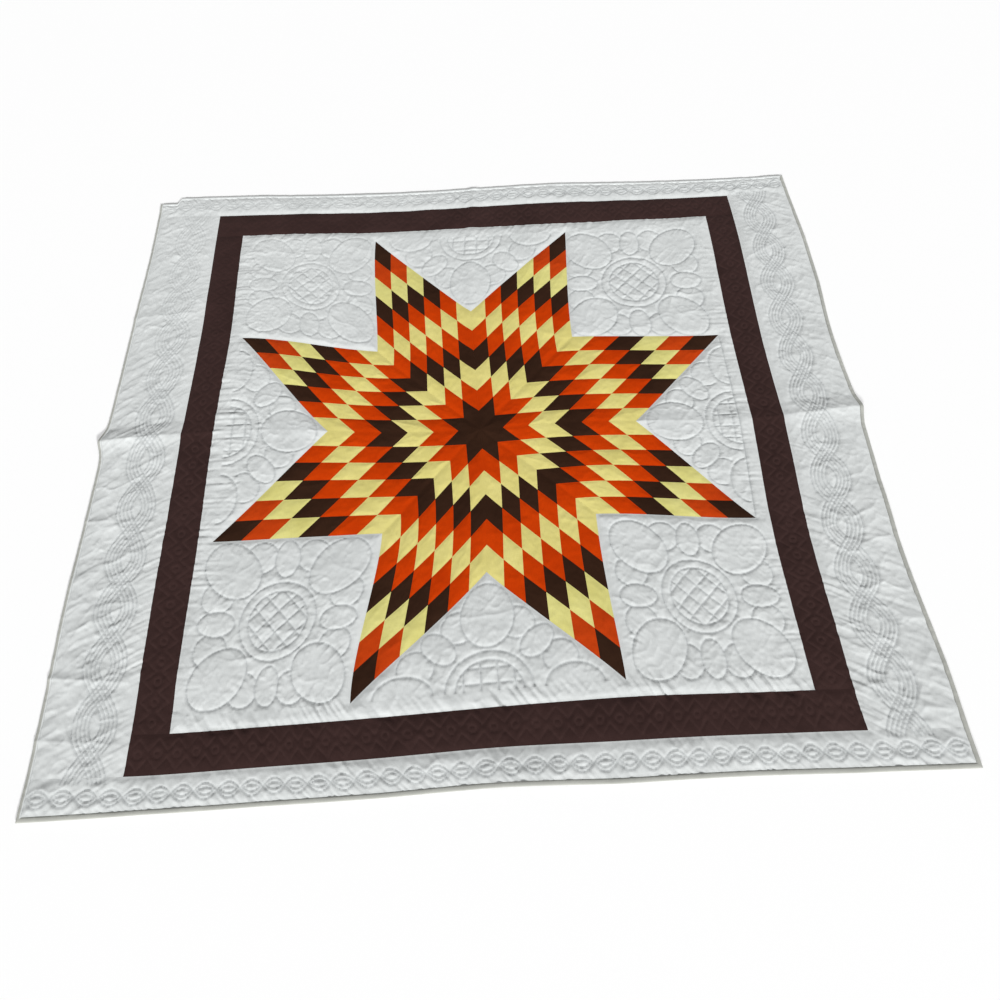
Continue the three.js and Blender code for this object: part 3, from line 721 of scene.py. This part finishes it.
def cloth_piece(node, plan, cells, half, relief, dyes, rows=None):
    """One cut piece as a closed body: quilted top, plain underside and the cut edge between.

    The underside takes the last of the dyes.
    """
    nu, nv = cells
    top_faces, top_rim = lattice(nu, nv, half)
    under_faces, under_rim = lattice(nu, nv, half, UNDER_STEP)
    p, thickness, stitched = relief(plan)
    base = lift(p)
    top = np.column_stack([lay_out(p), base + thickness])
    under = np.column_stack([lay_out(plan), lift(plan)])
    count = len(plan)
    walls = []
    size = len(top_rim)
    for k in range(0, size, UNDER_STEP):
        low = count + under_rim[k // UNDER_STEP]
        low_next = count + under_rim[(k // UNDER_STEP + 1) % len(under_rim)]
        ring = [top_rim[(k + s) % size] for s in range(UNDER_STEP + 1)]
        walls += [(low, b, a) for a, b in zip(ring, ring[1:])]
        walls.append((low, low_next, ring[-1]))
    walls = np.array(walls)
    faces = np.vstack([top_faces, count + under_faces[:, ::-1], walls])
    points = np.vstack([top, under])
    low = plan.min(0)
    span = plan.max(0) - low
    flat = (plan - low) / span
    top_uv = flat[top_faces] * (1, TOP_UV)
    under_uv = flat[under_faces[:, ::-1]] * (1, UNDER_UV["size"]) + (0, UNDER_UV["from"])
    order = np.repeat(np.arange(len(walls))[:, None] / len(walls), 3, 1)
    wall_uv = np.stack([order, np.where(walls >= count, EDGE_UV[1], EDGE_UV[0])], -1)
    uv = np.vstack([top_uv, under_uv, wall_uv]).reshape(-1, 2)
    face_rows = np.zeros(len(faces), int)
    face_rows[len(top_faces):len(top_faces) + len(under_faces)] = len(dyes) - 1
    if rows is not None:
        face_rows[:len(top_faces)] = rows(top_faces)
    used = np.unique(faces)
    renumber = np.zeros(len(points), int)
    renumber[used] = np.arange(len(used))
    smooth = np.arange(len(faces)) < len(faces) - len(walls)
    piece = mesh_object(node + "_cloth", points[used], renumber[faces], face_rows, uv, smooth)
    # This share sets the painted shade along stitched lines on white cloth and the lighter thread
    # tone on brown cloth.
    share = np.concatenate([stitched, np.zeros(count)])[used]
    layer = piece.data.attributes.new("stitched", "FLOAT", "POINT")
    layer.data.foreach_set("value", share.astype(np.float32))
    for dye in dyes:
        piece.data.materials.append(dye)
    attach(piece, "root")
    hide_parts(node)
    return piece


def grid_points(corner, along, across, nu, nv):
    """Plan points of a grid of nu by nv cells from a corner along two sides."""
    i, j = np.meshgrid(np.arange(nu + 1) / nu, np.arange(nv + 1) / nv, indexing="ij")
    return corner + i.ravel()[:, None] * along + j.ravel()[:, None] * across


def cell_count(length, cell):
    """Cells along a length, in a number that the underside can divide."""
    return UNDER_STEP * max(1, round(length / cell / UNDER_STEP))


def star_point(number):
    """One point of the star, in rows of small diamonds."""
    along = polar(45 * number, POINT_SIDE)
    across = polar(45 * (number + 1), POINT_SIDE)
    corners = drawn_in([np.zeros(2), along, along + across, across])
    per_diamond = cell_count(DIAMOND, STAR_CELL)
    count = per_diamond * PER_SIDE
    steps = np.interp(np.arange(count + 1) / per_diamond, range(PER_SIDE + 1), ROW_STOPS)
    i, j = np.divmod(np.arange((count + 1) ** 2), count + 1)
    side_i = (corners[1] - corners[0]) / POINT_SIDE
    side_j = (corners[3] - corners[0]) / POINT_SIDE
    plan = corners[0] + steps[i][:, None] * side_i + steps[j][:, None] * side_j

    def relief(p):
        seam_i = abs(i / per_diamond - np.round(i / per_diamond))
        seam_j = abs(j / per_diamond - np.round(j / per_diamond))
        away = np.minimum(seam_i, seam_j) * DIAMOND * math.sqrt(0.5)
        hold = np.maximum(seam_hold(p), STAR_HOLD * np.exp(-away / SEAM_REACH))
        x, y = p.T
        pucker = STAR_PUCKER * noise(x / 9, y / 9, 51) * np.exp(-away / STAR_PUCKER_REACH)
        free = 1 - hold
        ease = LEAST_CRUMPLE + STAR_CRUMPLE * free
        thickness = SEAM + STAR_LOFT * free + free * pucker + ease * crumple(p)
        return p, np.maximum(thickness, THINNEST), np.zeros(len(p))

    def rows(faces):
        i, j = np.divmod(faces, count + 1)
        row = i.min(1) // per_diamond + j.min(1) // per_diamond
        return np.array(ROW_DYES)[row]

    node = f"star_point_{number + 1}"
    piece = cloth_piece(node, plan, (count, count), False, relief,
                        STAR_DYES + [WHITE], rows)


def square_lines(number):
    """The motif stitched on a corner square."""
    middle = polar(45 + 90 * number, POINT_SIDE + POINT_SIDE * math.sqrt(0.5))
    lines = wreath(middle + SQUARE_SHIFTS[number], 0)
    return [wobble(line, WAVER_SEEDS["square"]) for line in lines]


def square(number):
    """One white corner square."""
    turned = 90 * number
    diagonal = 45 + turned
    start = polar(diagonal, POINT_SIDE)
    along = polar(turned, POINT_SIDE)
    across = polar(turned + 90, POINT_SIDE)
    corners = drawn_in([start, start + along, start + along + across, start + across])
    count = cell_count(POINT_SIDE, CELL)
    lines = square_lines(number)
    rim = lattice(count, count, False)[1]
    plan = grid_points(corners[0], corners[1] - corners[0], corners[3] - corners[0], count, count)
    piece = cloth_piece(f"corner_square_{number + 1}", plan, (count, count), False,
                        lambda p: quilted(p, lines, rim, CELL), [WHITE])


def triangle_corners(number):
    """Outline of a side triangle: the corner at the star, then the two on the inner strip."""
    apex = polar(90 * number, POINT_SIDE)
    along = polar(90 * number - 45, POINT_SIDE)
    across = polar(90 * number + 45, POINT_SIDE)
    return drawn_in([apex, apex + along, apex + across])


def triangle_lines(number):
    """Half of the motif, stitched on a side triangle."""
    turned = 90 * number
    corners = triangle_corners(number)
    lines = []
    for line in wreath(polar(turned, STAR), turned + 45, (BASE_OVAL, 1, BASE_OVAL, 1)):
        lines += runs(line, depth_inside(line, corners) > TRIANGLE_INSET)
    lines = [wobble(line, WAVER_SEEDS["triangle"]) for line in lines]
    # This seam is drawn as a stitched line, so it gets a groove and the painted shade of stitched
    # lines on white cloth.
    if number == 0:                  # the one seam to an inner strip that shows
        lines.append(straight(np.array([STAR, -NOTCH]), np.array([STAR, NOTCH])))
    return lines


def triangle(number):
    """One white side triangle."""
    corners = triangle_corners(number)
    lines = triangle_lines(number)
    count = cell_count(POINT_SIDE, CELL)
    rim = lattice(count, count, True)[1]
    plan = grid_points(corners[0], corners[1] - corners[0], corners[2] - corners[0], count, count)
    piece = cloth_piece(f"side_triangle_{number + 1}", plan, (count, count), True,
                        lambda p: quilted(p, lines, rim, CELL), [WHITE])


# The four sides: unit steps along the side, counterclockwise round the quilt, and outward
SIDES = {
    "top": (np.array([-1.0, 0]), np.array([0, 1.0])),
    "bottom": (np.array([1.0, 0]), np.array([0, -1.0])),
    "left": (np.array([0, -1.0]), np.array([-1.0, 0])),
    "right": (np.array([0, 1.0]), np.array([1.0, 0])),
}


def along_side(side, axis, half, near, far, lines):
    """Lines given along and across a strip, placed on one side of the quilt."""
    ahead, out = SIDES[side]
    placed = []
    for line in lines:
        across = axis + line[:, 1]
        inside = abs(line[:, 0]) < half - STRIP_INSET
        inside = inside & (across > near + STRIP_INSET) & (across < far - STRIP_INSET)
        line = line[:, :1] * ahead + across[:, None] * out
        for run in runs(line, inside):
            placed.append(wobble(run, WAVER_SEEDS["strip"], WAVER["strip_sway"]))
    return placed


def strip(node, slot, side, half, near, far, lines, dyes, cell=CELL, **look):
    """A straight strip on one side, from -half to half along it and from near to far outward."""
    ahead, out = SIDES[side]
    corners = drawn_in([-half * ahead + far * out, half * ahead + far * out,
                        half * ahead + near * out, -half * ahead + near * out])
    along = corners[1] - corners[0]
    across = corners[3] - corners[0]
    nu = cell_count(np.linalg.norm(along), cell)
    nv = cell_count(np.linalg.norm(across), cell)
    plan = grid_points(corners[0], along, across, nu, nv)
    rim = lattice(nu, nv, False)[1]
    piece = cloth_piece(node, plan, (nu, nv), False,
                        lambda p: quilted(p, lines, rim, cell, **look), dyes)


# Section of the rolled binding: outward from the border's edge, height
BINDING_SECTION = (
    (0.3, 0.2), (3.5, 0), (7, 0), (10, 0.2), (11.5, 1.1), (12, 2.4), (11.7, 3.7), (10.8, 4.8),
    (9, 5.5), (6.5, 5.8), (4, 5.8), (2, 5.5), (0.8, 4.8), (0.3, 3.6),
)
# On the left and top the roll is white from this side of its section on; the sides before it keep
# the darker binding colour, painted shade on the roll's outer side
WHITE_FROM = {"left": 10, "top": 8}


def binding(side):
    """The bound edge: a folded strip rolled over the border's edge, slanted at its ends."""
    ahead, out = SIDES[side]
    level = side in ("top", "bottom")
    away = EDGE_Y if level else EDGE_X
    half = EDGE_X if level else EDGE_Y
    section = np.array(BINDING_SECTION)
    count = round(2 * half / CELL)
    stops = np.linspace(-half, half, count + 1)
    end = np.zeros(count + 1)
    end[0] = -1
    end[-1] = 1
    along = stops[:, None] + end[:, None] * (section[:, 0] - GAP)
    plan = along[..., None] * ahead + (away + section[:, :1])[None] * out
    size = len(section)
    flat = plan.reshape(-1, 2)
    # The roll is a little thicker in some places than in others
    swell = 1 + 0.09 * noise(stops / 23, stops * 0, 131) + 0.07 * noise(stops / 9, stops * 0, 132)
    height = (section[None, :, 1] * swell[:, None]).ravel()
    points = np.column_stack([lay_out(flat), lift(flat) + height])
    k, s = np.meshgrid(np.arange(count), np.arange(size), indexing="ij")
    a = (k * size + s).ravel()
    b = (k * size + (s + 1) % size).ravel()
    c = a + size
    d = b + size
    fan = np.arange(1, size - 1)
    last = count * size
    faces = np.vstack([
        np.stack([a, c, d], 1), np.stack([a, d, b], 1),
        np.stack([fan * 0, fan, fan + 1], 1),
        np.stack([fan * 0 + last, last + fan + 1, last + fan], 1),
    ])
    around = np.repeat(np.arange(size)[None] / size, count + 1, 0).ravel()
    length = np.repeat((stops + half)[:, None] / (2 * half), size, 1).ravel()
    uv = np.stack([length, around], 1)[faces].reshape(-1, 2)
    node = f"binding_{side}"
    ends = np.arange(len(faces)) >= len(faces) - 2 * len(fan)
    section_side = (np.arange(len(faces)) % (count * size)) % size
    # On the left and top the outer sides of the roll keep the darker binding colour as painted
    # shade; the rest of the roll is white.
    white = (section_side >= WHITE_FROM.get(side, size)) & ~ends
    piece = mesh_object(node + "_cloth", points, faces, white.astype(int), uv, ~ends)
    piece.data.materials.append(EDGE)
    piece.data.materials.append(WHITE)
    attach(piece, "root")
    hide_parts(node)


# The quilt
for number in range(8):
    star_point(number)
for number in range(4):
    square(number)
    triangle(number)
motifs = sum([square_lines(number) + triangle_lines(number) for number in range(4)], [])
ropes = []
for side in ("left", "right"):
    half = BROWN + ROPE_OVERLAP
    lines = waves(half, ROPE["length"], ROPE["swing"], ROPE["lines"])
    ropes += along_side(side, BROWN + ROPE["inset"], half, BROWN, EDGE_X, lines)
for side in SIDES:
    level = side in ("top", "bottom")
    near_strip = [line for line in motifs if (line @ SIDES[side][1]).max() > STAR - NEAR_STRIP]
    strip(f"inner_strip_{side}", "white_cotton", side, INNER if level else STAR, STAR, INNER,
          near_strip, [WHITE])
    half = BROWN if level else INNER
    lines = along_side(side, (INNER + BROWN) / 2, half, INNER, BROWN, zigzags(half))
    strip(f"brown_strip_{side}", "brown_cotton", side, half, INNER, BROWN, lines,
          [FRAME_BROWN, WHITE], BROWN_CELL, loft=BROWN_LOFT, line_reach=BROWN_REACH)
    half, far = (EDGE_X, EDGE_Y) if level else (BROWN, EDGE_X)
    lines = [line for line in ropes if (line @ SIDES[side][1]).max() > BROWN]
    if level:
        axis = (BROWN + EDGE_Y) / 2 + CHAIN["shift"]
        lines += along_side(side, axis, half, BROWN, far, chain(half))
    strip(f"border_{side}", "white_cotton", side, half, BROWN, far, lines, [WHITE],
          line_reach=BORDER_REACH, hold=BORDER_LINE_HOLD, pucker=BORDER_PUCKER)
    binding(side)


# Floor, light and camera, in metres
FLOOR_HALF = 9.0
FLOOR_DROP = 0.0005              # keeps the floor clear of the cloth's underside
LIGHTS = (                       # name, place, width of the source in degrees, strength
    ("key", (2.2, -3.4, 1.9), 8, 2.9),
    ("second", (-1.8, -3.6, 1.9), 12, 2.0),
)
LENS = 22.41
EYE = (0.0129, -0.9633, 1.6423)
EYE_RIGHT = Vector((0.9987196, -0.0498455, -0.0086313))
EYE_DOWN = Vector((-0.0491453, -0.9155785, -0.3991250))
SKY = 0.38


def floor():
    mesh = bpy.data.meshes.new("floor")
    corners = [(x * FLOOR_HALF, y * FLOOR_HALF, 0) for x, y in ((-1, -1), (1, -1), (1, 1), (-1, 1))]
    mesh.from_pydata(corners, [], [(0, 1, 2, 3)])
    plane = bpy.data.objects.new("floor", mesh)
    bpy.context.scene.collection.objects.link(plane)
    plane.location.z = -FLOOR_DROP
    material = bpy.data.materials.new("floor_paint")
    material.use_nodes = True
    shader = material.node_tree.nodes["Principled BSDF"]
    shader.inputs["Base Color"].default_value = (0.95, 0.95, 0.95, 1)
    shader.inputs["Roughness"].default_value = 0.9
    plane.data.materials.append(material)
    plane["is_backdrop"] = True


def sun(name, place, spread, strength):
    """Even light from the direction of a place, whose source is so many degrees wide."""
    light = bpy.data.lights.new(name, "SUN")
    light.angle = math.radians(spread)
    light.energy = strength
    lamp = bpy.data.objects.new(name, light)
    lamp.location = place
    lamp.rotation_euler = (-Vector(place)).to_track_quat("-Z", "Y").to_euler()
    bpy.context.scene.collection.objects.link(lamp)


def camera():
    data = bpy.data.cameras.new("camera")
    data.sensor_width = 36.0
    data.lens = LENS
    eye = bpy.data.objects.new("camera", data)
    turn = Matrix((EYE_RIGHT, -EYE_DOWN, EYE_RIGHT.cross(-EYE_DOWN))).transposed()
    eye.matrix_world = Matrix.Translation(EYE) @ turn.to_4x4()
    bpy.context.scene.collection.objects.link(eye)
    bpy.context.scene.camera = eye


floor()
camera()
for name, place, spread, strength in LIGHTS:
    sun(name, place, spread, strength)
world = bpy.data.worlds.new("studio")
world.use_nodes = True
background = world.node_tree.nodes["Background"]
background.inputs["Color"].default_value = (1, 1, 1, 1)
background.inputs["Strength"].default_value = SKY
bpy.context.scene.world = world
bpy.context.scene.view_settings.view_transform = "Standard"

boxes = {"cad": cad_box, "visual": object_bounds()}
{key: [list(corner) for corner in box] for key, box in boxes.items()}
